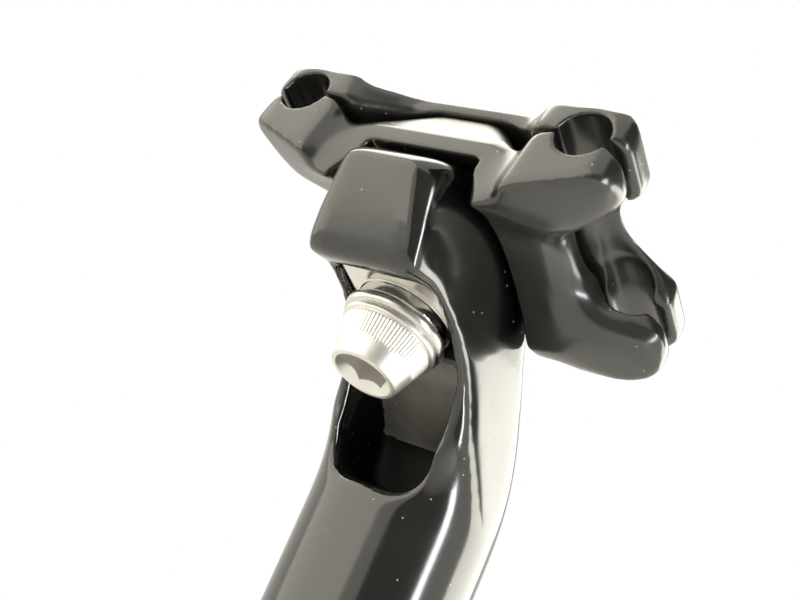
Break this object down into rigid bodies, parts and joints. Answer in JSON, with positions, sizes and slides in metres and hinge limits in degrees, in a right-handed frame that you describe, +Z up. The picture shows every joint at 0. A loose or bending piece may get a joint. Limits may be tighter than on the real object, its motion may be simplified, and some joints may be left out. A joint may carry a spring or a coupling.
{
  "type": "bicycle seatpost",
  "caption": "Setback bicycle seatpost: round tube bending back into a forged arched head, with a tilting two-piece saddle rail clamp drawn down by one socket screw from below.",
  "frame": {"origin": "centre of the tube at its foot", "axes": "+Z up along the tube, +Y towards the front of the bicycle, +X to the right"},
  "size_m": [0.0564, 0.0529, 0.3135],
  "materials": {
    "black_paint": "gloss black coating on forged aluminium",
    "bolt_steel": "bright plated steel",
    "washer_steel": "bright turned steel"
  },
  "bodies": {
    "post": {"post": "black_paint"},
    "clamp": {"lower_cradle": "black_paint", "saddle_washer": "washer_steel", "bolt_washer": "washer_steel"},
    "cap": {"upper_clamp": "black_paint"},
    "bolt": {"clamp_bolt": "bolt_steel"}
  },
  "joints": [
    {"name": "clamp_tilt", "type": "hinge", "parent": "post", "child": "clamp", "pos_m": [0, -0.02322, 0.27179], "axis": [1, 0, 0], "range_deg": [-12, 12]},
    {"name": "bolt_turn", "type": "hinge", "parent": "clamp", "child": "bolt", "pos_m": [0, -0.02322, 0.27179], "axis": [0, -0.2924, -0.9563], "range_deg": [0, 1440]},
    {"name": "cap_lift", "type": "slide", "parent": "clamp", "child": "cap", "axis": [0, 0.2924, 0.9563], "range_m": [0, 0.005]}
  ],
  "couplings": [
    {"joint": "cap_lift", "follows": "bolt_turn", "m_per_rad": 0.00019894}
  ]
}
